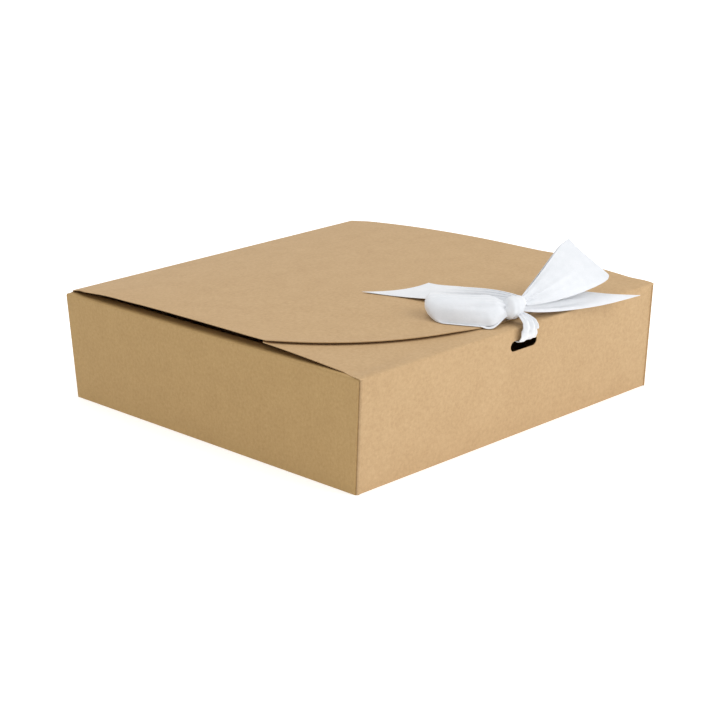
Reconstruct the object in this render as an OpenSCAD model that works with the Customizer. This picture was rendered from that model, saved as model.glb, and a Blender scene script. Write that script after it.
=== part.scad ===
// Ribbon-tied gift box, folded from one die-cut card blank and closed with one satin ribbon.
// Origin: centre of the base's underside. +Z is up, -Y is the front with the ribbon slot.

/* [Box] */
// Outside width of the base, left to right, in mm
box_width = 300; // [260:1:330]
// Outside depth of the base, front to back, in mm
box_depth = 300; // [260:1:340]
// Height of the top creases above the table, in mm
wall_height = 80; // [60:1:120]
// Thickness of the card, in mm
card_thickness = 0.6; // [0.4:0.1:0.8]
// How far the front wall leans out at its top, in mm
front_lean = 6.6; // [2:0.1:9]
// How far the back wall leans out at its top, in mm
back_lean = 5.5; // [2:0.1:9]

/* [Double side walls] */
// Width of the fold along the top of a side wall, in mm
rim_width = 15; // [8:0.5:16]
// Length of the corner tabs inside the side walls, in mm
corner_tab_length = 72; // [40:1:110]
// Length of one locking tab of an inner wall, in mm
lock_tab_length = 24; // [15:1:28]
// Distance of the locking tabs from the middle of the wall, in mm
lock_tab_offset = 80; // [50:1:95]

/* [Lid] */
// Rise of the arched lid in the middle, in mm
arch_rise = 7.5; // [4:0.5:14]
// How far the lid and the front flap are set in from the side faces, in mm
lid_inset = 4.2; // [4:0.1:8]
// Distance of the lid's curved front edge from the front crease, in mm
lid_setback = 11.5; // [9:0.5:20]
// Radius of the lid's curved front edge, in mm
lid_edge_radius = 171.5; // [170:0.5:220]

/* [Front flap] */
// Length of the flap that lies under the lid, in mm
flap_length = 110; // [90:1:120]
// Size of the bevelled corners of the flap, in mm
flap_bevel = 14; // [5:1:25]

/* [Ribbon] */
// Length of the ribbon slot in the front wall, in mm
slot_length = 27; // [22:0.5:34]
// Height of the ribbon slot, in mm
slot_height = 7.5; // [7:0.5:10]
// Drop from the top crease to the middle of the slot, in mm
slot_drop = 13; // [11:0.5:20]
// Sideways place of the slot from the middle of the wall, in mm
slot_side = 6.5; // [4:0.5:9]
// Full width of the ribbon, in mm
ribbon_width = 38; // [30:0.5:42]
// Width of the ribbon where it is gathered in the slot, in mm
strap_width = 17; // [10:0.5:21]
// Sideways place of the gathered strap, in mm
strap_side = 9; // [7:0.5:10]
// Sideways place of the knot, in mm
knot_side = 9; // [6:0.5:12]
// Thickness of the gathered ribbon, in mm
strap_thickness = 0.8; // [0.4:0.1:0.8]
// Width of the knot, in mm
knot_width = 20; // [16:0.5:22]
// Radius of the knot, in mm
knot_radius = 8.5; // [7:0.1:9]
// Length of the left loop, in mm
left_loop_length = 47; // [35:1:60]
// Length of the right loop, in mm
right_loop_length = 76; // [50:1:90]

/* [Hidden] */
$fn = 180;

kraft = [0.78, 0.63, 0.46];
kraft_inside = [0.70, 0.56, 0.40];
satin = [0.94, 0.94, 0.96];

crease_gap = 0.3;
crease_drop = 0.9;
rim_drop = 1.4;
sheet_gap = 0.4;
cut_over = 5;
raw_edge_gap = 0.5;

half_width = box_width / 2;
half_depth = box_depth / 2;
front_y = -half_depth - front_lean;
back_y = half_depth + back_lean;
wall_top = wall_height - crease_drop;
side_top = wall_height - rim_drop;
wall_share = wall_top / wall_height;
front_top_y = -half_depth - front_lean * wall_share;
back_top_y = half_depth + back_lean * wall_share;
end_wall_half = half_width - card_thickness - crease_gap / 3;
inner_face_x = half_width - rim_width + card_thickness;
tab_x = half_width - card_thickness - crease_gap - card_thickness;
tab_bottom = 2;
tab_top = side_top - tab_bottom;
inner_margin = 1;
lock_slack = 0.4;

lid_half = half_width - lid_inset;
arch_centre_y = -4;
lid_rear_y = back_y - crease_gap;
arch_half = lid_rear_y - arch_centre_y;
arch_radius = (arch_half * arch_half + arch_rise * arch_rise) / (2 * arch_rise);
arch_centre_z = wall_height + arch_rise - arch_radius;
lid_front_y = front_y + lid_setback;
flap_front_y = front_y + crease_gap;
flap_rear_y = flap_front_y + flap_length;

slot_z = wall_height - slot_drop;
slot_round = slot_height / 2;
strap_floor = slot_z + slot_round - 2 * strap_thickness;
strap_outer_y = front_y - strap_thickness - 2 * crease_gap;
strap_inner_y = front_y + front_lean * slot_drop / wall_height + card_thickness + 2 * crease_gap;
strap_top = wall_top - 2 * crease_drop;
strand_y = strap_outer_y - strap_thickness - sheet_gap;
strand_bottom = strap_top - 3;
strand_top = wall_height + 4;
strand_reach = 7;

knot_y = -half_depth + 3;
knot_z = wall_height + 2.5 + knot_radius;
knot_left = knot_side - knot_width / 2;
knot_right = knot_side + knot_width / 2;
ribbon_clear = 0.3;
ribbon_sheet = 0.6;
loop_depth = 12;
loop_neck = 11;
left_loop_z = wall_height + 7;
left_loop_turn = 136;
left_loop_start = 14.5;
right_loop_roll = 34;
right_loop_rise = 12;
right_loop_z = knot_z + 2;

// Card standing across the box, drawn in the side view and extruded over the given width.
module across(x_low, x_high) {
    translate([x_low, 0, 0])
        rotate([90, 0, 90])
            linear_extrude(height = x_high - x_low)
                children();
}

// A side wall's outline in the side view, following the leaning end walls.
module side_outline(z_low, z_high, margin) {
    polygon([
        [-half_depth - front_lean * z_low / wall_height + margin, z_low],
        [half_depth + back_lean * z_low / wall_height - margin, z_low],
        [half_depth + back_lean * z_high / wall_height - margin, z_high],
        [-half_depth - front_lean * z_high / wall_height + margin, z_high]
    ]);
}

// The curved layer that the lid, the flap and the lying ribbon follow.
module arch_layer(inner, outer) {
    translate([-half_width, arch_centre_y, arch_centre_z])
        rotate([0, 90, 0])
            difference() {
                cylinder(r = arch_radius + outer, h = box_width);
                translate([0, 0, -cut_over])
                    cylinder(r = arch_radius + inner, h = box_width + 2 * cut_over);
            }
}

// A piece of the curved layer, cut to the outline given as a child.
module arched(inner, outer) {
    intersection() {
        arch_layer(inner, outer);
        translate([0, 0, slot_z])
            linear_extrude(height = 2 * slot_drop + arch_rise)
                children();
    }
}

module lock_slots(slack) {
    for (side = [-1, 1])
        for (end = [-1, 1])
            translate([
                side * (inner_face_x - card_thickness / 2) - card_thickness / 2 - slack,
                end * lock_tab_offset - lock_tab_length / 2 - slack,
                -slack
            ])
                cube([card_thickness + 2 * slack, lock_tab_length + 2 * slack, card_thickness + 2 * slack]);
}

module base_panel() {
    color(kraft_inside)
        difference() {
            translate([-half_width + card_thickness, -half_depth + card_thickness, 0])
                cube([box_width - 2 * card_thickness, box_depth - 2 * card_thickness, card_thickness]);
            lock_slots(lock_slack);
        }
}

module front_wall() {
    color(kraft)
        difference() {
            across(-end_wall_half, end_wall_half)
                polygon([
                    [-half_depth, 0],
                    [-half_depth + card_thickness, 0],
                    [front_top_y + card_thickness, wall_top],
                    [front_top_y, wall_top]
                ]);
            translate([slot_side, -half_depth + cut_over, slot_z])
                rotate([90, 0, 0])
                    linear_extrude(height = front_lean + 2 * cut_over) {
                        square([slot_length - slot_height, slot_height], center = true);
                        for (end = [-1, 1])
                            translate([end * (slot_length / 2 - slot_round), 0])
                                circle(r = slot_round);
                    }
        }
}

module back_wall() {
    color(kraft)
        across(-end_wall_half, end_wall_half)
            polygon([
                [half_depth - card_thickness, 0],
                [half_depth, 0],
                [back_top_y, wall_top],
                [back_top_y - card_thickness, wall_top]
            ]);
}

module outer_wall(x_low) {
    color(kraft)
        across(x_low, x_low + card_thickness)
            side_outline(0, side_top, raw_edge_gap);
}

module left_outer_wall() {
    outer_wall(-half_width);
}

module right_outer_wall() {
    outer_wall(half_width - card_thickness);
}

module rim_fold(x_low) {
    color(kraft)
        translate([x_low, front_top_y + raw_edge_gap, side_top])
            cube([rim_width, back_top_y - front_top_y - 2 * raw_edge_gap, card_thickness]);
}

module left_rim_fold() {
    rim_fold(-half_width);
}

module right_rim_fold() {
    rim_fold(half_width - rim_width);
}

module inner_wall(x_low) {
    color(kraft_inside)
        across(x_low, x_low + card_thickness) {
            side_outline(card_thickness, side_top, card_thickness + inner_margin);
            for (end = [-1, 1])
                translate([end * lock_tab_offset - lock_tab_length / 2, 0])
                    square([lock_tab_length, 2 * card_thickness]);
        }
}

module left_inner_wall() {
    inner_wall(-inner_face_x);
}

module right_inner_wall() {
    inner_wall(inner_face_x - card_thickness);
}

// A tab folded back from an end wall into the hollow of a side wall.
module corner_tab(x_low, end) {
    color(kraft_inside)
        across(x_low, x_low + card_thickness)
            intersection() {
                side_outline(tab_bottom, tab_top, card_thickness + crease_gap);
                translate([end * half_depth - corner_tab_length, 0])
                    square([2 * corner_tab_length, wall_height]);
            }
}

module front_left_tab() {
    corner_tab(-tab_x - card_thickness / 2, -1);
}

module front_right_tab() {
    corner_tab(tab_x - card_thickness / 2, -1);
}

module back_left_tab() {
    corner_tab(-tab_x - card_thickness / 2, 1);
}

module back_right_tab() {
    corner_tab(tab_x - card_thickness / 2, 1);
}

module lid_panel() {
    color(kraft)
        arched(0, card_thickness)
            intersection() {
                translate([-lid_half, lid_front_y])
                    square([2 * lid_half, lid_rear_y - lid_front_y]);
                union() {
                    translate([0, lid_front_y + lid_edge_radius])
                        circle(r = lid_edge_radius);
                    translate([-lid_half, 0])
                        square([2 * lid_half, lid_rear_y]);
                }
            }
}

module front_flap() {
    color(kraft)
        arched(-sheet_gap - card_thickness, -sheet_gap)
            polygon([
                [-lid_half, flap_front_y],
                [lid_half, flap_front_y],
                [lid_half, flap_rear_y - flap_bevel],
                [lid_half - flap_bevel, flap_rear_y],
                [-lid_half + flap_bevel, flap_rear_y],
                [-lid_half, flap_rear_y - flap_bevel]
            ]);
}

module ribbon_front_strap() {
    strap_left = strap_side - strap_width / 2;
    color(satin)
        union() {
            translate([strap_left, strap_outer_y, strap_floor])
                cube([strap_width, strap_thickness, strap_top - strap_floor]);
            translate([strap_left, strap_outer_y, strap_floor])
                cube([strap_width, strap_inner_y - strap_outer_y, strap_thickness]);
            translate([strap_left, strap_inner_y - strap_thickness, strap_floor])
                cube([strap_width, strap_thickness, strap_top - strap_floor]);
        }
}

module ribbon_lid_strand() {
    strand_left = strap_side - strap_width / 2;
    color(satin)
        union() {
            translate([strand_left, strand_y, strand_bottom])
                cube([strap_width, strap_thickness, strand_top - strand_bottom]);
            translate([strand_left, strand_y, strand_top - strap_thickness])
                cube([strap_width, strand_reach, strap_thickness]);
        }
}

module bow_knot() {
    color(satin)
        translate([knot_left, knot_y, knot_z])
            rotate([0, 90, 0])
                cylinder(r = knot_radius, h = knot_width);
}

// A loop that widens from the knot to a round end of the ribbon's full width.
module bow_loop(length) {
    end_round = ribbon_width / 2;
    color(satin)
        translate([0, 0, -loop_depth / 2])
            linear_extrude(height = loop_depth)
                intersection() {
                    polygon([
                        [0, -loop_neck / 2],
                        [length, -end_round],
                        [length, end_round],
                        [0, loop_neck / 2]
                    ]);
                    translate([length - ribbon_width, 0])
                        circle(r = ribbon_width);
                }
}

module bow_loop_left() {
    translate([knot_side, knot_y, left_loop_z + loop_depth / 2])
        rotate([0, 0, left_loop_turn])
            translate([left_loop_start, 0, 0])
                bow_loop(left_loop_length);
}

module bow_loop_right() {
    translate([knot_right + 2 * ribbon_clear, knot_y, right_loop_z])
        rotate([0, -right_loop_rise, 0])
            translate([loop_depth * sin(right_loop_rise) / 2, 0, 0])
                rotate([right_loop_roll, 0, 0])
                    bow_loop(right_loop_length);
}

// Left tail: lies on the lid towards the back, its end cut on a slant.
module bow_tail_left() {
    root_y = knot_y + knot_radius + 2 * ribbon_clear;
    tip = [knot_side - 37, -34];
    heel = [knot_side + 13, -52];
    left_bend = [knot_side - 18, -79];
    right_bend = [knot_side + 17, -79];
    color(satin)
        arched(card_thickness + ribbon_clear, card_thickness + ribbon_clear + ribbon_sheet)
            polygon([
                [knot_side - loop_neck / 2, root_y],
                [knot_side + loop_neck / 2, root_y],
                right_bend,
                heel,
                tip,
                left_bend
            ]);
}

// Right tail: runs along the front edge and hangs a little over it, its end cut on a slant.
module bow_tail_right() {
    root_x = knot_right + ribbon_clear;
    reach = 75;
    slant = 22;
    rear_y = knot_y + 15;
    tip_y = knot_y - 22;
    color(satin)
        arched(card_thickness + ribbon_clear, card_thickness + ribbon_clear + ribbon_sheet)
            polygon([
                [root_x, knot_y + loop_neck / 2],
                [root_x, knot_y - loop_neck / 2],
                [root_x + reach + slant, tip_y],
                [root_x + reach, rear_y]
            ]);
}

base_panel();
front_wall();
back_wall();
left_outer_wall();
right_outer_wall();
left_rim_fold();
right_rim_fold();
left_inner_wall();
right_inner_wall();
front_left_tab();
front_right_tab();
back_left_tab();
back_right_tab();
lid_panel();
front_flap();
ribbon_front_strap();
ribbon_lid_strand();
bow_knot();
bow_loop_left();
bow_loop_right();
bow_tail_left();
bow_tail_right();
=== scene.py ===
import math

import bmesh
import bpy
import numpy as np
from mathutils import Matrix, Vector


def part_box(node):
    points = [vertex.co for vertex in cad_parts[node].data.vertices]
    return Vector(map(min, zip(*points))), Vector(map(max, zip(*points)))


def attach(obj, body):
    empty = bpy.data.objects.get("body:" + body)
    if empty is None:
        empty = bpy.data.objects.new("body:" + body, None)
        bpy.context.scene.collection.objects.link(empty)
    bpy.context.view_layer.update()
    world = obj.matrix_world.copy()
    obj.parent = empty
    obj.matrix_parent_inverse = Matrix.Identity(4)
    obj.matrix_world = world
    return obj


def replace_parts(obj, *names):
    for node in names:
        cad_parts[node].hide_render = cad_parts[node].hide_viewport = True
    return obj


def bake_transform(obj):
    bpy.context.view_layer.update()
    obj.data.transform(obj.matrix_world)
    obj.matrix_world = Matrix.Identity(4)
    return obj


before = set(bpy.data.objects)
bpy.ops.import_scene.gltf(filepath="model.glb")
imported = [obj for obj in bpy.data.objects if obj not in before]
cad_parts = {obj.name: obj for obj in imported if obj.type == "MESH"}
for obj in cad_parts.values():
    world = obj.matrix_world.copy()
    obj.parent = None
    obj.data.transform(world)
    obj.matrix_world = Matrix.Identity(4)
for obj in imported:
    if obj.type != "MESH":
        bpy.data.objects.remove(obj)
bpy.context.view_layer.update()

# Looks of the ribbon-tied gift box: folded kraft card with rounded creases, and a satin bow.
# Lengths are in millimetres, and MM turns them into metres; the floor and the lights are in metres.
MM = 0.001


def box_mm(node):
    low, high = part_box(node)
    return np.array(low) / MM, np.array(high) / MM


# ---------------------------------------------------------------- sizes read from the CAD
base_low, base_high = box_mm("base_panel")
front_low, front_high = box_mm("front_wall")
back_high = box_mm("back_wall")[1]
lid_low, lid_high = box_mm("lid_panel")
flap_high = box_mm("front_flap")[1]
rim_low, rim_high = box_mm("left_rim_fold")
tab_high = box_mm("front_left_tab")[1]
strap_low = box_mm("ribbon_front_strap")[0]
knot_low, knot_high = box_mm("bow_knot")

CARD = base_high[2] - base_low[2]
HALF_WIDTH = -rim_low[0]
HALF_DEPTH = base_high[1] + CARD
WALL_TOP = front_high[2]
FRONT_LEAN = (-HALF_DEPTH - front_low[1]) / WALL_TOP
BACK_LEAN = (back_high[1] - HALF_DEPTH) / WALL_TOP
RIM_TOP = rim_high[2]
RIM_WIDTH = rim_high[0] - rim_low[0]
LID_HALF = lid_high[0]
KNOT = (knot_low + knot_high) / 2

# The arch that lid and flap follow, from the lid's own box.
ARCH_CENTRE_Y = -4.0
ARCH_RISE = lid_high[2] - CARD - lid_low[2]
ARCH_HALF = lid_high[1] - ARCH_CENTRE_Y
ARCH_RADIUS = (ARCH_HALF**2 + ARCH_RISE**2) / (2 * ARCH_RISE)
ARCH_CENTRE_Z = lid_high[2] - CARD - ARCH_RADIUS
FLAP_DROP = 0.4
LID_EDGE_RADIUS = 171.5

# Creases: how far a bend reaches into its panel, how high it rises, and how soon it is as wide.
CREASE_REACH = 1.5
CREASE_RISE = 0.4
CREASE_STEP = 6.0
CREASE_ROWS = 13
WALL_STOP = WALL_TOP + CARD - CREASE_REACH + CREASE_RISE

# Upright corners: the end walls stop short of the sides, their tabs stand inside them, and the
# double side walls keep clear of the end walls.
CORNER_SETBACK = 1.7
END_HALF = front_high[0] - CORNER_SETBACK
TAB_INSET = 0.9
SIDE_GAP = 1.25
INNER_MARGIN = 1.6
RIM_SLOPE = 0.9

# How the folded card departs from the even arch: the flap drops towards its crease, lid and flap
# sag on the left, the lid's left edge stands off the rim at the back, and its loose front edge
# lifts except where the ribbon holds it.
SHOULDER_DROP = 0.5
SHOULDER_REACH = 11.0
SAG = 1.9
SAG_REAR_Y = 115.0
SAG_REAR_FADE = 115.0
SAG_FRONT_FADE = 13.0
SAG_RIGHT_X = -20.0
REAR_LIFT = 0.9
REAR_LIFT_Y = 80.0
REAR_LIFT_FADE = 38.0
REAR_LIFT_CREASE_FADE = 10.0
REAR_LIFT_X = -95.0
EDGE_LIFT = 1.3
EDGE_LIFT_REACH = 16.0
HELD_HALF = 22.0
HELD_FADE = 36.0

# Half widths near the creases: wider at the front one, narrower at the back one.
CORNER_FADE = 20.0
FRONT_CORNER_OUT = 3.8
REAR_CORNER_IN = 2.6


def front_y(z):
    return -HALF_DEPTH - FRONT_LEAN * z


def back_y(z):
    return HALF_DEPTH + BACK_LEAN * z


def arch_z(y, offset):
    """Height at y of the arched layer that lies offset above the lid's underside."""
    shoulder = np.clip((front_y(WALL_TOP) + SHOULDER_REACH - y) / SHOULDER_REACH, 0, 1)
    arch = ARCH_CENTRE_Z + np.sqrt((ARCH_RADIUS + offset) ** 2 - (y - ARCH_CENTRE_Y) ** 2)
    return arch - SHOULDER_DROP * shoulder**2


def smooth(x):
    x = np.clip(x, 0.0, 1.0)
    return x * x * (3 - 2 * x)


def left_sag(x, y):
    """How far the lid and the flap together hang lower on the left than the even arch."""
    from_rear = smooth((SAG_REAR_Y - y) / SAG_REAR_FADE)
    from_front = smooth((y - front_y(WALL_TOP) - CREASE_REACH) / SAG_FRONT_FADE)
    along = from_rear * from_front
    return SAG * along * smooth((SAG_RIGHT_X - x) / (SAG_RIGHT_X + LID_HALF))


def lid_front_edge(x):
    centre = lid_low[1] + LID_EDGE_RADIUS
    return centre - np.sqrt(LID_EDGE_RADIUS**2 - x**2)


def edge_lift(x, y):
    """The lid's loose front edge stands a little off the flap, except where the ribbon holds it."""
    behind = np.maximum(y - lid_front_edge(x), 0.0)
    loose = smooth((np.abs(x - KNOT[0]) - HELD_HALF) / HELD_FADE)
    return EDGE_LIFT * loose * np.exp(-behind / EDGE_LIFT_REACH)


def rear_lift(x, y):
    """The lid's left edge stands off the rim at the back, and comes down again at its crease."""
    along = smooth((y - REAR_LIFT_Y) / REAR_LIFT_FADE)
    along = along * smooth((back_y(WALL_TOP) - CREASE_REACH - y) / REAR_LIFT_CREASE_FADE)
    return REAR_LIFT * along * smooth((REAR_LIFT_X - x) / (REAR_LIFT_X + LID_HALF))


def panel_half(y):
    """Half width of the lid and the flap: a little wider at the front crease, narrower at the back."""
    front = smooth((front_y(WALL_TOP) + CREASE_REACH + CORNER_FADE - y) / CORNER_FADE)
    rear = smooth((y - back_y(WALL_TOP) + CREASE_REACH + CORNER_FADE) / CORNER_FADE)
    return LID_HALF + FRONT_CORNER_OUT * front - REAR_CORNER_IN * rear


def lid_z(x, y, above=0.0):
    """Height of the lid's upper face, or of a layer lying above it."""
    return arch_z(y, CARD + above) - left_sag(x, y) + edge_lift(x, y) + rear_lift(x, y)


def flap_z(x, y, above=0.0):
    """Height of the flap's upper face, or of a layer lying above it."""
    return arch_z(y, -FLAP_DROP + above) - left_sag(x, y)


# ---------------------------------------------------------------- mesh helpers
def grid_normals(points):
    du = np.gradient(points, axis=0)
    dv = np.gradient(points, axis=1)
    normal = np.cross(du, dv)
    return normal / np.maximum(np.linalg.norm(normal, axis=2, keepdims=True), 1e-12)


def sheet_object(name, points, thickness, side, material, wear=None):
    """A closed sheet: points is an (n, m, 3) grid in mm, thickened to the given side of it."""
    n, m = points.shape[:2]
    other = points + side * thickness * grid_normals(points)
    verts = np.concatenate([points.reshape(-1, 3), other.reshape(-1, 3)]) * MM
    index = np.arange(n * m).reshape(n, m)
    quads = np.stack([index[:-1, :-1], index[1:, :-1], index[1:, 1:], index[:-1, 1:]], -1).reshape(-1, 4)
    top = quads if side < 0 else quads[:, ::-1]
    bottom = (quads[:, ::-1] if side < 0 else quads) + n * m
    ring = np.concatenate([index[:, 0], index[-1, 1:], index[-2::-1, -1], index[0, -2:0:-1]])
    following = np.roll(ring, -1)
    rim = np.stack([following, ring, ring + n * m, following + n * m], -1)
    rim = rim[:, ::-1] if side < 0 else rim
    faces = np.concatenate([top, bottom, rim]).tolist()
    mesh = bpy.data.meshes.new(name)
    mesh.from_pydata(verts.tolist(), [], faces)
    mesh.validate()
    uv_u = np.concatenate([[0], np.cumsum(np.linalg.norm(np.diff(points[:, m // 2], axis=0), axis=1))])
    uv_v = np.concatenate([[0], np.cumsum(np.linalg.norm(np.diff(points[n // 2], axis=0), axis=1))])
    grid_uv = np.stack(np.meshgrid(uv_u * MM, uv_v * MM, indexing="ij"), -1).reshape(-1, 2)
    grid_uv = np.concatenate([grid_uv, grid_uv])
    layer = mesh.uv_layers.new(name="along")
    loops = np.zeros(len(mesh.loops), np.int32)
    mesh.loops.foreach_get("vertex_index", loops)
    layer.data.foreach_set("uv", grid_uv[loops].astype(np.float32).ravel())
    worn = np.zeros(n * m) if wear is None else wear.reshape(-1)
    attribute = mesh.attributes.new("wear", "FLOAT", "POINT")
    attribute.data.foreach_set("value", np.concatenate([worn, worn]).astype(np.float32))
    for polygon in mesh.polygons:
        polygon.use_smooth = True
    mesh.set_sharp_from_angle(angle=math.radians(50))
    mesh.materials.append(material)
    obj = bpy.data.objects.new(name, mesh)
    bpy.context.scene.collection.objects.link(obj)
    return obj


def rounded_path(corners, radii, step=4.0, arc_steps=8):
    """A polyline through 2D corners with rounded bends, and how close each point is to a bend."""
    corners = [np.array(c, float) for c in corners]
    points, wear = [corners[0]], [0.0]
    for k in range(1, len(corners) - 1):
        before, here, after = corners[k - 1], corners[k], corners[k + 1]
        to_before = (before - here) / np.linalg.norm(before - here)
        to_after = (after - here) / np.linalg.norm(after - here)
        start, end = here + to_before * radii[k - 1], here + to_after * radii[k - 1]
        last = points[-1]
        count = max(1, int(np.linalg.norm(start - last) / step))
        for i in range(1, count + 1):
            points.append(last + (start - last) * i / count)
            wear.append(0.6 if i == count else 0.0)
        for i in range(1, arc_steps + 1):
            f = i / arc_steps
            points.append((1 - f) ** 2 * start + 2 * f * (1 - f) * here + f * f * end)
            wear.append(1.0 if i < arc_steps else 0.6)
    last, end = points[-1], corners[-1]
    count = max(1, int(np.linalg.norm(end - last) / step))
    for i in range(1, count + 1):
        points.append(last + (end - last) * i / count)
        wear.append(0.0)
    return np.array(points), np.array(wear)


# ---------------------------------------------------------------- material helpers
class Nodes:
    """A small wrapper that adds and links shader nodes."""

    def __init__(self, name):
        self.material = bpy.data.materials.new(name)
        self.material.use_nodes = True
        self.tree = self.material.node_tree
        self.shader = self.tree.nodes["Principled BSDF"]

    def add(self, kind, inputs=None, **settings):
        node = self.tree.nodes.new(kind)
        for key, value in settings.items():
            setattr(node, key, value)
        for key, value in (inputs or {}).items():
            self.put(node, key, value)
        return node

    def put(self, node, key, value):
        if isinstance(value, bpy.types.NodeSocket):
            self.tree.links.new(value, node.inputs[key])
        else:
            node.inputs[key].default_value = value

    def math(self, operation, a, b):
        return self.add("ShaderNodeMath", {0: a, 1: b}, operation=operation).outputs[0]

    def mix(self, share, a, b):
        node = self.add("ShaderNodeMix", data_type="RGBA")
        self.put(node, 0, share)
        self.put(node, 6, a)
        self.put(node, 7, b)
        return node.outputs[2]

    def noise(self, vector, scale, detail, roughness):
        inputs = {"Vector": vector, "Scale": scale, "Detail": detail, "Roughness": roughness}
        return self.add("ShaderNodeTexNoise", inputs).outputs["Fac"]

    def ramp(self, value, low, high):
        inputs = {"Value": value, "From Min": low, "From Max": high}
        return self.add("ShaderNodeMapRange", inputs, clamp=True).outputs[0]


def kraft_material(name, dark, mid, light):
    """Uncoated kraft card: mottled pulp, short fibres, and lighter worn creases."""
    nodes = Nodes(name)
    place = nodes.add("ShaderNodeTexCoord").outputs["Object"]
    stretched_x = nodes.add("ShaderNodeMapping", {"Vector": place, "Scale": (0.35, 1.0, 1.0)}).outputs[0]
    stretched_z = nodes.add("ShaderNodeMapping", {"Vector": place, "Scale": (1.0, 1.0, 0.3)}).outputs[0]
    cloud = nodes.noise(place, 55.0, 3.0, 0.55)
    pulp = nodes.noise(place, 420.0, 5.0, 0.7)
    fibre_x = nodes.noise(stretched_x, 1300.0, 3.0, 0.6)
    fibre_z = nodes.noise(stretched_z, 1100.0, 3.0, 0.6)
    fibres = nodes.math("MULTIPLY", nodes.math("ADD", fibre_x, fibre_z), 0.5)
    speck = nodes.ramp(nodes.noise(place, 900.0, 2.0, 0.5), 0.66, 0.74)
    tone = nodes.math("ADD", nodes.math("MULTIPLY", pulp, 0.5), nodes.math("MULTIPLY", fibres, 0.35))
    tone = nodes.math("ADD", tone, nodes.math("MULTIPLY", cloud, 0.15))
    colour = nodes.mix(nodes.ramp(tone, 0.36, 0.5), dark, mid)
    colour = nodes.mix(nodes.ramp(tone, 0.5, 0.66), colour, light)
    colour = nodes.mix(nodes.math("MULTIPLY", speck, 0.22), colour, dark)
    worn = nodes.add("ShaderNodeAttribute", attribute_name="wear").outputs["Fac"]
    worn = nodes.math("MULTIPLY", worn, nodes.ramp(pulp, 0.35, 0.7))
    colour = nodes.mix(nodes.math("MULTIPLY", worn, 0.3), colour, light)
    height = nodes.math("ADD", nodes.math("MULTIPLY", fibres, 0.6), nodes.math("MULTIPLY", pulp, 0.4))
    bump = nodes.add("ShaderNodeBump", {"Height": height, "Strength": 0.12, "Distance": 0.00015})
    nodes.put(nodes.shader, "Base Color", colour)
    nodes.put(nodes.shader, "Roughness", nodes.ramp(fibres, -0.9, 1.3))
    nodes.put(nodes.shader, "Specular IOR Level", 0.28)
    nodes.put(nodes.shader, "Normal", bump.outputs[0])
    return nodes.material


def satin_material(name, colour_low, colour_high):
    """White satin ribbon: fine threads along its length, a softly crushed face and a soft sheen."""
    nodes = Nodes(name)
    along = nodes.add("ShaderNodeUVMap", uv_map="along").outputs[0]
    place = nodes.add("ShaderNodeTexCoord").outputs["Object"]
    thread_map = nodes.add("ShaderNodeMapping", {"Vector": along, "Scale": (0.06, 1.0, 1.0)}).outputs[0]
    threads = nodes.noise(thread_map, 5200.0, 2.0, 0.5)
    weft_map = nodes.add("ShaderNodeMapping", {"Vector": along, "Scale": (1.0, 0.08, 1.0)}).outputs[0]
    weft = nodes.noise(weft_map, 3600.0, 2.0, 0.5)
    crush = nodes.noise(place, 130.0, 3.0, 0.5)
    colour = nodes.mix(nodes.ramp(nodes.math("ADD", threads, crush), 0.8, 1.2), colour_low, colour_high)
    height = nodes.math("ADD", nodes.math("MULTIPLY", threads, 0.7), nodes.math("MULTIPLY", weft, 0.3))
    fine = nodes.add("ShaderNodeBump", {"Height": height, "Strength": 0.25, "Distance": 0.0001})
    soft = nodes.add("ShaderNodeBump", {"Height": crush, "Strength": 0.25, "Distance": 0.0012})
    nodes.put(soft, "Normal", fine.outputs[0])
    nodes.put(nodes.shader, "Base Color", colour)
    nodes.put(nodes.shader, "Roughness", nodes.ramp(threads, -0.6, 2.0))
    nodes.put(nodes.shader, "Specular IOR Level", 0.3)
    nodes.put(nodes.shader, "Sheen Weight", 0.7)
    nodes.put(nodes.shader, "Sheen Roughness", 0.5)
    nodes.put(nodes.shader, "Subsurface Weight", 0.1)
    nodes.put(nodes.shader, "Subsurface Radius", (0.002, 0.002, 0.002))
    nodes.put(nodes.shader, "Subsurface Scale", 1.0)
    nodes.put(nodes.shader, "Normal", soft.outputs[0])
    return nodes.material


KRAFT = kraft_material(
    "kraft_card", (0.44, 0.285, 0.142, 1), (0.505, 0.338, 0.176, 1), (0.57, 0.392, 0.215, 1)
)
# Painted shade: the side walls get a darker, more saturated copy of the same card to stand in for the shade
# on their less-lit faces. It is not another material.
KRAFT_SIDE_PAINTED_SHADE = kraft_material(
    "kraft_card_side_painted_shade", (0.362, 0.222, 0.084, 1), (0.414, 0.265, 0.105, 1), (0.468, 0.307, 0.13, 1)
)
SATIN = satin_material("satin_ribbon", (0.715, 0.74, 0.775, 1), (0.765, 0.785, 0.82, 1))


# ---------------------------------------------------------------- camera, floor and light
def make_camera():
    azimuth, elevation, roll = math.radians(-43.822), math.radians(17.55), math.radians(-1.546)
    distance, shift_right, shift_up, aim_height = 1398.3, 0.8, -15.1, 40.0
    lens, sensor = 94.42, 36.0
    rise, run = math.sin(elevation), math.cos(elevation)
    back = Vector((math.sin(azimuth) * run, -math.cos(azimuth) * run, rise))
    level = (-back).cross(Vector((0, 0, 1))).normalized()
    upright = level.cross(-back)
    right = level * math.cos(roll) + upright * math.sin(roll)
    up = upright * math.cos(roll) - level * math.sin(roll)
    place = (Vector((0, 0, aim_height)) + back * distance + right * shift_right + up * shift_up) * MM
    data = bpy.data.cameras.new("camera")
    data.lens, data.sensor_width = lens, sensor
    data.clip_start, data.clip_end = 0.05, 60.0
    camera = bpy.data.objects.new("camera", data)
    camera.matrix_world = Matrix.Translation(place) @ Matrix((right, up, back)).transposed().to_4x4()
    bpy.context.scene.collection.objects.link(camera)
    bpy.context.scene.camera = camera


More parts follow.
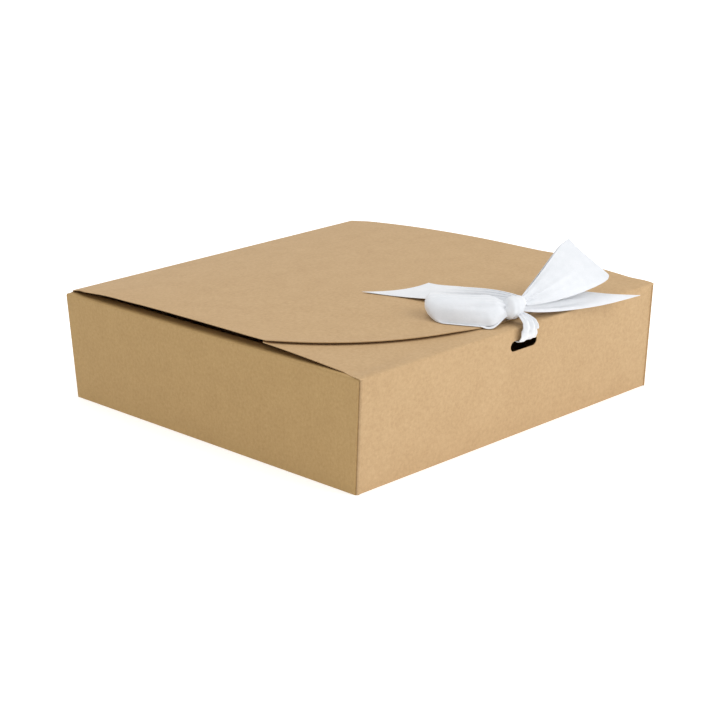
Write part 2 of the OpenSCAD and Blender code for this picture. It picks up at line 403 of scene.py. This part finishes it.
def make_floor():
    size = 14.0
    mesh = bpy.data.meshes.new("floor")
    corners = [(-size, -size, 0), (size, -size, 0), (size, size, 0), (-size, size, 0)]
    mesh.from_pydata(corners, [], [(0, 1, 2, 3)])
    nodes = Nodes("floor")
    nodes.put(nodes.shader, "Base Color", (0.9, 0.9, 0.9, 1))
    nodes.put(nodes.shader, "Roughness", 0.9)
    nodes.put(nodes.shader, "Emission Color", (1, 1, 1, 1))
    nodes.put(nodes.shader, "Emission Strength", 0.42)
    mesh.materials.append(nodes.material)
    floor = bpy.data.objects.new("floor", mesh)
    bpy.context.scene.collection.objects.link(floor)


def area_light(name, place, aim, size, power):
    data = bpy.data.lights.new(name, "AREA")
    data.shape, data.size, data.energy = "DISK", size, power
    light = bpy.data.objects.new(name, data)
    light.location = place
    light.rotation_euler = (Vector(aim) - Vector(place)).to_track_quat("-Z", "Y").to_euler()
    bpy.context.scene.collection.objects.link(light)


def make_light():
    world = bpy.data.worlds.new("studio")
    world.use_nodes = True
    world.node_tree.nodes["Background"].inputs["Color"].default_value = (1, 1, 1, 1)
    world.node_tree.nodes["Background"].inputs["Strength"].default_value = 0.68
    bpy.context.scene.world = world
    bpy.context.scene.view_settings.view_transform = "Standard"
    area_light("key", (1.3, -2.0, 1.7), (0, 0, 0.04), 2.2, 32.5)
    area_light("top", (-0.2, 0.3, 2.4), (0, 0, 0.08), 2.0, 16.5)


# ---------------------------------------------------------------- card pieces
def base_and_ends():
    """Base, front wall and back wall: one strip of card with two rounded bottom creases."""
    front_end, back_end = (front_y(WALL_STOP), WALL_STOP), (back_y(WALL_STOP), WALL_STOP)
    foot_bend = 1.0
    corners = [front_end, (-HALF_DEPTH, 0), (HALF_DEPTH, 0), back_end]
    path, wear = rounded_path(corners, [foot_bend, foot_bend])
    across = np.linspace(-END_HALF, END_HALF, 121)
    grid = np.zeros((len(path), len(across), 3))
    grid[:, :, 0] = across[None, :]
    grid[:, :, 1] = path[:, 0, None]
    grid[:, :, 2] = path[:, 1, None]
    worn = np.repeat(wear[:, None], len(across), 1)
    obj = sheet_object("card_base_and_ends", grid, CARD, -1, KRAFT, worn)
    cut_slot(obj)
    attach(obj, "tray")
    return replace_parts(obj, "base_panel", "front_wall", "back_wall")


def cut_slot(obj):
    """Cuts the round-ended ribbon slot through the front wall."""
    length, height, side = 27.0, 7.5, 6.5
    crease_top, drop, reach = WALL_TOP + 0.9, 13.0, 6
    arc_steps = 16
    centre_z = crease_top - drop
    bm = bmesh.new()
    outline = []
    for end in (1, -1):
        for k in range(arc_steps + 1):
            angle = end * math.pi / 2 - math.pi * k / arc_steps
            x = side + end * (length - height) / 2 + math.cos(angle) * height / 2
            outline.append((x, centre_z + math.sin(angle) * height / 2))
    near = [bm.verts.new(Vector((x, front_y(centre_z) - reach, z)) * MM) for x, z in outline]
    far = [bm.verts.new(Vector((x, front_y(centre_z) + reach, z)) * MM) for x, z in outline]
    bm.faces.new(near)
    bm.faces.new(far[::-1])
    for k in range(len(near)):
        j = (k + 1) % len(near)
        bm.faces.new((near[j], near[k], far[k], far[j]))
    bmesh.ops.recalc_face_normals(bm, faces=bm.faces)
    mesh = bpy.data.meshes.new("slot_cutter")
    bm.to_mesh(mesh)
    bm.free()
    cutter = bpy.data.objects.new("slot_cutter", mesh)
    bpy.context.scene.collection.objects.link(cutter)
    boolean = obj.modifiers.new("slot", "BOOLEAN")
    boolean.object, boolean.operation, boolean.solver = cutter, "DIFFERENCE", "EXACT"
    graph = bpy.context.evaluated_depsgraph_get()
    cut = bpy.data.meshes.new_from_object(obj.evaluated_get(graph))
    obj.modifiers.clear()
    obj.data = cut
    bpy.data.objects.remove(cutter)


def side_wall(side, name):
    """One double side wall: up the outside, over the rim and down the inside, bowed in a little."""
    outer, inner = HALF_WIDTH, HALF_WIDTH - RIM_WIDTH
    outer_top, inner_top = RIM_TOP + 0.2, RIM_TOP - RIM_SLOPE
    foot_lip, bow_depth = 1.6, 0.35
    foot_bend, outer_bend, inner_bend = 0.7, 2.0, 1.4
    corners = [(outer - foot_lip, 0), (outer, 0), (outer, outer_top), (inner, inner_top), (inner, CARD)]
    path, wear = rounded_path(corners, [foot_bend, outer_bend, inner_bend], step=3.0)
    length = np.concatenate([[0], np.cumsum(np.linalg.norm(np.diff(path, axis=0), axis=1))])
    inside = smooth((outer - path[:, 0] - RIM_WIDTH * 0.4) / (RIM_WIDTH * 0.55))
    margin = SIDE_GAP + (INNER_MARGIN - SIDE_GAP) * inside
    margin[:3] = SIDE_GAP
    across = np.linspace(0, 1, 101)
    low = front_y(path[:, 1]) + margin
    high = back_y(path[:, 1]) - margin
    grid = np.zeros((len(path), len(across), 3))
    grid[:, :, 0] = side * path[:, 0, None]
    grid[:, :, 1] = low[:, None] + (high - low)[:, None] * across[None, :]
    grid[:, :, 2] = path[:, 1, None]
    worn = np.repeat(wear[:, None], len(across), 1)
    upwards = np.sin(math.pi * np.clip(path[:, 1, None] / RIM_TOP, 0, 1))
    bow = bow_depth * np.sin(math.pi * across)[None, :] * upwards
    grid[:, :, 0] -= side * bow * (length[:, None] < RIM_TOP)
    # The side walls take the darker copy of the card, which is painted shade.
    obj = sheet_object(f"card_side_{name}", grid, CARD, side, KRAFT_SIDE_PAINTED_SHADE, worn)
    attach(obj, "tray")
    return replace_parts(obj, f"{name}_outer_wall", f"{name}_rim_fold", f"{name}_inner_wall")


def corner_tab(side, end, name):
    """The rounded upright crease of an end wall, and its tab inside the side wall."""
    outer = front_high[0] - TAB_INSET
    reach, bend = 72.0, 0.65
    foot, foot_rise, foot_fade = 0.35, 2.0, 5.0
    path, wear = rounded_path([(END_HALF, 0), (outer, 0), (outer, reach)], [bend], arc_steps=6)
    rows = np.linspace(0, 1, 41)
    inwards = smooth(path[:, 1] / foot_fade)
    low = foot + foot_rise * inwards
    high = WALL_STOP - (WALL_STOP - tab_high[2]) * inwards
    grid = np.zeros((len(rows), len(path), 3))
    z = low[None, :] + (high - low)[None, :] * rows[:, None]
    wall = front_y(z) if end < 0 else back_y(z)
    grid[:, :, 0] = side * path[None, :, 0]
    grid[:, :, 1] = wall - end * path[None, :, 1]
    grid[:, :, 2] = z
    worn = np.repeat(wear[None, :], len(rows), 0)
    sense = side * end
    obj = sheet_object(f"card_tab_{name}", grid, CARD, sense, KRAFT, worn)
    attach(obj, "tray")
    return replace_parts(obj, f"{name}_tab")


def top_panel(name, height, rear, front, body, node):
    """An arched panel; rear and front give its y limits for each x, height its upper face."""
    across = np.linspace(-LID_HALF, LID_HALF, 121)
    along = np.linspace(0, 1, 121)
    start, stop = rear(across), front(across)
    y = start[None, :] + (stop - start)[None, :] * along[:, None]
    grid = np.zeros((len(along), len(across), 3))
    grid[:, :, 0] = across[None, :] * panel_half(y) / LID_HALF
    grid[:, :, 1] = y
    grid[:, :, 2] = height(grid[:, :, 0], y)
    sense = 1 if (stop - start).mean() > 0 else -1
    obj = sheet_object(name, grid, CARD, sense, KRAFT)
    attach(obj, body)
    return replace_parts(obj, node)


def flap_rear(x):
    bevel = 14.0
    rear = flap_high[1]
    return rear - np.clip(np.abs(x) - (LID_HALF - bevel), 0, bevel)


def crease(name, wall_side, offset):
    """The bent strip of card between a wall and the panel hinged to it."""
    if wall_side < 0:
        start = np.array([front_y(WALL_STOP), WALL_STOP])
        panel_y = front_y(WALL_TOP + CARD) + CREASE_REACH
    else:
        start = np.array([back_y(WALL_STOP), WALL_STOP])
        panel_y = back_y(WALL_TOP + CARD) - CREASE_REACH
    end = np.array([panel_y, arch_z(panel_y, offset)])
    probe = 0.1
    slope = (arch_z(panel_y + probe, offset) - arch_z(panel_y - probe, offset)) / (2 * probe)
    lean = -FRONT_LEAN if wall_side < 0 else BACK_LEAN
    rise = (end[1] - start[1] - slope * (end[0] - start[0])) / (1 - slope * lean)
    corner = start + rise * np.array([lean, 1.0])
    share = np.linspace(0, 1, CREASE_ROWS)[:, None]
    path = (1 - share) ** 2 * start + 2 * share * (1 - share) * corner + share**2 * end
    widened = smooth(CREASE_STEP * np.linspace(0, 1, CREASE_ROWS))
    half = END_HALF + (panel_half(panel_y) - END_HALF) * widened
    across = np.linspace(-1, 1, 121)
    grid = np.zeros((len(path), len(across), 3))
    grid[:, :, 0] = half[:, None] * across[None, :]
    grid[:, :, 1] = path[:, 0, None]
    grid[:, :, 2] = path[:, 1, None]
    worn = np.repeat(np.sin(math.pi * share), len(across), 1)
    sense = 1 if wall_side < 0 else -1
    obj = sheet_object(name, grid, CARD, sense, KRAFT, worn)
    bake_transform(obj)
    return obj


def make_card():
    base_and_ends()
    side_wall(-1, "left")
    side_wall(1, "right")
    for side, side_name in ((-1, "left"), (1, "right")):
        for end, end_name in ((-1, "front"), (1, "back")):
            corner_tab(side, end, f"{end_name}_{side_name}")
    lid_rear = back_y(WALL_TOP + CARD) - CREASE_REACH
    flap_front = front_y(WALL_TOP + CARD) + CREASE_REACH
    top_panel("card_lid", lid_z, lambda x: np.full_like(x, lid_rear), lid_front_edge, "lid", "lid_panel")
    top_panel("card_flap", flap_z, lambda x: np.full_like(x, flap_front), flap_rear, "flap", "front_flap")
    crease("crease_lid", 1, CARD)
    crease("crease_flap", -1, -FLAP_DROP)


# ---------------------------------------------------------------- ribbon pieces
SATIN_THICKNESS = 0.28


def unit(v):
    v = np.array(v, float)
    return v / np.linalg.norm(v)


def bezier(points, u):
    p = [np.array(q, float) for q in points]
    u = u[..., None]
    return (1 - u) ** 3 * p[0] + 3 * u * (1 - u) ** 2 * p[1] + 3 * u * u * (1 - u) * p[2] + u**3 * p[3]


def ribbon_object(name, grid, body, nodes):
    obj = sheet_object(name, grid, SATIN_THICKNESS, -1, SATIN)
    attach(obj, body)
    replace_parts(obj, *nodes)
    return obj


def lay_on_card(grid, clear):
    """Keeps points at least clear above the lid and the flap, where they are over the box."""
    x, y = grid[:, :, 0], grid[:, :, 1]
    inside = np.clip(y, front_y(WALL_TOP) + CREASE_REACH, back_y(WALL_TOP) - CREASE_REACH)
    ahead = 3.0
    on_lid = smooth((y - lid_front_edge(np.clip(x, -LID_HALF, LID_HALF)) + ahead) / ahead)
    floor = flap_z(x, inside, clear) + (lid_z(x, inside, clear) - flap_z(x, inside, clear)) * on_lid
    over = y > front_y(WALL_TOP)
    grid[:, :, 2] = np.where(over, np.maximum(grid[:, :, 2], floor), grid[:, :, 2])
    return grid


class Loop:
    """A ribbon loop: out along its upper layer, round its end and back along its lower one."""

    # Shares of a half turn where the lower layer takes over, and of the length where the lower
    # layer is fully shifted and the gathers have run out; less than 1 for END_POWER is a full end.
    TURN_START, TURN_SPAN = 0.8, 0.4
    SHIFT_REACH, GATHER_REACH = 0.3, 0.7
    END_POWER = 0.6

    def __init__(self, root, ahead, wide, length):
        self.root, self.ahead, self.length = np.array(root, float), unit(ahead), length
        self.wide = unit(np.array(wide, float) - self.ahead * np.dot(wide, self.ahead))
        self.out = np.cross(self.wide, self.ahead)
        self.out = self.out * np.sign(self.out[2])

    def grid(self, near, far, reach, upper, lower, shift, ripple, steps=110, across=45):
        """near and far: the edges' distances from the middle line, for each share of the length.

        upper and lower: how far each layer stands off the middle plane; shift: how far the lower
        layer peeps out past the upper one; reach: the length's factor across the ribbon.
        """
        turn = np.linspace(0.0, 2 * math.pi, steps)[:, None]
        t = np.linspace(-1, 1, across)[None, :]
        share = (1 - np.cos(turn)) / 2
        below = smooth((turn - self.TURN_START * math.pi) / (self.TURN_SPAN * math.pi))
        middle = (far(share) - near(share)) / 2 + shift * (below - 0.5) * 2 * smooth(share / self.SHIFT_REACH)
        half = (far(share) + near(share)) / 2
        open_share = np.abs(np.sin(turn)) ** self.END_POWER
        stand = np.where(turn < math.pi, upper(share, t), -lower(share, t)) * open_share
        gathered = 1 - smooth(share / self.GATHER_REACH)
        gathers = gathered * ripple * np.cos(3.0 * math.pi * t + 0.6 + 2.0 * below)
        gathers = gathers + 0.4 * ripple * (1 - share) * np.cos(5.0 * math.pi * t + 1.1)
        along = self.length * share * reach(t)
        grid = self.root + self.ahead * along[..., None] + self.wide * (middle + half * t)[..., None]
        return grid + self.out * (stand + gathers)[..., None]


def make_left_loop():
    """A puffed loop that lies back on the lid, its lower layer showing under the near edge."""
    loop = Loop(KNOT + np.array([-2.5, 1.6, 0.8]), (-0.72, 0.69, -0.02), (0.615, 0.656, 0.438), 59.5)

    def bend(s):
        return 2.2 + 4.4 * np.sin(math.pi * s**0.85) - 3.2 * s

    def half(s):
        return 6.6 + 8.9 * smooth((s - 0.06) / 0.27)

    def upper(s, t):
        fold = 0.8 * np.exp(-(((t - 0.5) / 0.07) ** 2)) * smooth(s / 0.4)
        return (2.6 + 5.4 * smooth(s / 0.22)) * (1 - t**2) + 0.45 - fold

    def lower(s, t):
        return 1.4 * (1 - t**2) + 0.3

    grid = loop.grid(
        near=lambda s: half(s) + bend(s), far=lambda s: half(s) - bend(s),
        reach=lambda t: 1.0 - 0.11 * (t - 0.2) ** 2,
        upper=upper, lower=lower, shift=-1.3, ripple=0.6,
    )
    grid = lay_on_card(grid, 0.7)
    return ribbon_object("ribbon_loop_left", grid, "lid", ["bow_loop_left"])


def make_right_loop():
    """A flat loop that stands up and opens like a fan, its end pressed to a crease."""
    loop = Loop(KNOT + np.array([6.5, 0.0, 1.6]), (0.977, 0.035, 0.209), (-0.527, 0.704, 0.481), 75.5)

    def near(s):
        return 3.5 + 16.8 * (1 - (1 - s) ** 1.9)

    def far(s):
        edge = 3.5 + 18.2 * np.clip(s, 0, 0.85)
        return edge + 0.8 * smooth((s - 0.3) / 0.55) + 0.5 * smooth((s - 0.85) / 0.15)

    def layer(s, t):
        return 3.6 * (1 - 0.75 * t**2) * smooth(s / 0.35) * smooth((0.955 - s) / 0.35) + 0.5

    def reach(t):
        corner = 0.055 * np.clip((-t - 0.86) / 0.14, 0, 1) ** 2.2
        return 1.01 - 0.025 * t + 0.02 * smooth((t - 0.6) / 0.4) - corner

    grid = loop.grid(near=near, far=far, reach=reach, upper=layer, lower=layer, shift=0.5, ripple=0.55)
    return ribbon_object("ribbon_loop_right", grid, "lid", ["bow_loop_right"])


def tail_grid(near, far, crown, ripple, notch, steps=90, across=33):
    """A ribbon tail between two Bezier edges, gathered at the knot and cut on a slant."""
    s = np.linspace(0, 1, steps)
    t = np.linspace(-1, 1, across)[None, :]
    low, high = bezier(near, s)[:, None, :], bezier(far, s)[:, None, :]
    grid = low + (high - low) * ((t + 1) / 2)[..., None]
    share = s[:, None]
    gathered = 1 - smooth((share - 0.12) / 0.6)
    folds = ripple * gathered * np.cos(4.6 * math.pi * t + 0.4)
    grid += np.array(notch) * ((1 - t**2) * smooth((share - 0.45) / 0.55))[..., None]
    crowned = crown * (1 - t**2) * np.sin(math.pi * share)
    grid[:, :, 2] += folds + crowned + 0.25 * np.sin(9.0 * share + 2.0 * t)
    return grid


def make_left_tail():
    """The tail that runs back over the lid, its slanting cut end drawn out to a point."""
    near = [(4.0, -146.0, 95.5), (-4.0, -117.0, 90.0), (-12.0, -66.0, 86.5), (-28.2, -34.0, 88.6)]
    far = [(11.5, -146.0, 97.0), (14.0, -106.0, 99.0), (14.6, -86.0, 90.3), (15.6, -57.6, 90.6)]
    grid = lay_on_card(tail_grid(near, far, crown=1.4, ripple=1.25, notch=(0, -3.0, -1.6)), 0.4)
    return ribbon_object("ribbon_tail_left", grid, "lid", ["bow_tail_left"])


def make_right_tail():
    """The tail that runs along the front edge and hangs a little over it."""
    near = [(8.5, -149.4, 88.6), (44.0, -158.7, 78.2), (80.0, -164.5, 79.8), (116.5, -169.6, 80.0)]
    far = [(9.5, -145.5, 93.0), (41.0, -139.5, 93.2), (64.0, -134.5, 89.0), (83.0, -135.0, 84.4)]
    grid = lay_on_card(tail_grid(near, far, crown=4.6, ripple=1.3, notch=(-1.0, -3.0, 0.0)), 0.5)
    return ribbon_object("ribbon_tail_right", grid, "lid", ["bow_tail_right"])


def make_knot():
    """The band that wraps the necks of the loops, with gathers that run down into the strap."""
    turn = np.linspace(0, 2 * math.pi, 97)[:, None]
    t = np.linspace(-1, 1, 49)[None, :]
    axis = unit((1.0, -0.12, -0.10))
    up = unit(np.cross(axis, (0, 1, 0)))
    across = np.cross(up, axis)
    band_half, band_radius, end_drop = 8.8, 8.1, 5.9
    half = band_half + 0.9 * np.cos(turn - 0.8)
    folded = 1.1 * (1 - np.cos(math.pi * t))
    gathers = 0.24 * np.cos(4.2 * math.pi * np.sin(math.pi * t) + 2.4 * np.sin(turn) + 0.5)
    radius = band_radius - folded - end_drop * np.abs(np.sin(math.pi * t)) ** 4
    radius = radius + gathers + 0.14 * np.cos(7 * t + 2 * turn)
    y, z = radius * np.cos(turn) * 0.92, radius * np.sin(turn) * 0.98
    skew = 2.2 * np.sin(turn + 0.5)
    centre = KNOT + np.array([-3.0, 0.0, 0.0])
    along = np.sin(math.pi * t) * half + skew
    grid = centre + axis * along[..., None] + across * y[..., None] + up * z[..., None]
    return ribbon_object("ribbon_knot", grid, "lid", ["bow_knot"])


def strap_grid(path, left, right, split, swell, steps=60, across=41):
    """A strap folded once along its length: path is (y, z) points, left and right its edges in x."""
    path = np.array(path, float)
    length = np.concatenate([[0], np.cumsum(np.linalg.norm(np.diff(path, axis=0), axis=1))])
    s = np.linspace(0, length[-1], steps)
    y = np.interp(s, length, path[:, 0])
    z = np.interp(s, length, path[:, 1])
    reach = 2
    kernel = np.ones(2 * reach + 1) / (2 * reach + 1)
    y = np.convolve(np.pad(y, reach, mode="edge"), kernel, "valid")
    z = np.convolve(np.pad(z, reach, mode="edge"), kernel, "valid")
    share = (s / length[-1])[:, None]
    t = np.linspace(-1, 1, across)[None, :]
    x_left, x_right = left(share), right(share)
    x = x_right - (x_right - x_left) * np.abs(t) ** 1.15
    tangent = np.stack([np.gradient(y), np.gradient(z)], -1)
    tangent = tangent / np.linalg.norm(tangent, axis=1, keepdims=True)
    normal = np.stack([-tangent[:, 1], tangent[:, 0]], -1)
    depth = split * np.sin(t * math.pi / 2) + swell * np.cos(15.0 * t + 2 * share)
    grid = np.zeros((steps, across, 3))
    grid[:, :, 0] = x
    grid[:, :, 1] = y[:, None] + normal[:, 0, None] * depth
    grid[:, :, 2] = z[:, None] + normal[:, 1, None] * depth
    return grid


def make_strap():
    """The strap in the front slot: up inside the wall, out through the slot and up the front."""
    wall = front_y(strap_low[2])
    level = strap_low[2] + 0.6
    path = [
        (wall + 3.0, 76.5), (wall + 3.0, level + 1.5), (wall + 1.5, level), (wall - 2.0, level),
        (wall - 4.2, level + 3.5), (wall - 4.4, 78.4),
    ]

    def left(s):
        return -1.6 + 0.8 * s

    def right(s):
        return 16.6 - 2.2 * s + 0.6 * np.sin(math.pi * s)

    grid = strap_grid(path, left, right, 0.45, 0.28)
    return ribbon_object("ribbon_strap", grid, "tray", ["ribbon_front_strap"])


def make_strand():
    """The strap's upper end, from the knot down over the front crease."""
    wall = front_y(WALL_TOP)
    path = [
        (wall - 4.9, 77.0), (wall - 5.1, 80.0), (wall - 3.7, 83.5), (wall + 1.5, 86.6), (wall + 6.0, 88.2),
    ]

    def left(s):
        return -0.9 + 4.6 * s

    def right(s):
        return 14.4 - 5.9 * s**1.3

    grid = strap_grid(path, left, right, 0.6, 0.8)
    return ribbon_object("ribbon_strand", grid, "lid", ["ribbon_lid_strand"])


def make_ribbon():
    make_left_loop()
    make_right_loop()
    make_left_tail()
    make_right_tail()
    make_knot()
    make_strap()
    make_strand()


make_camera()
make_floor()
make_light()
make_card()
make_ribbon()
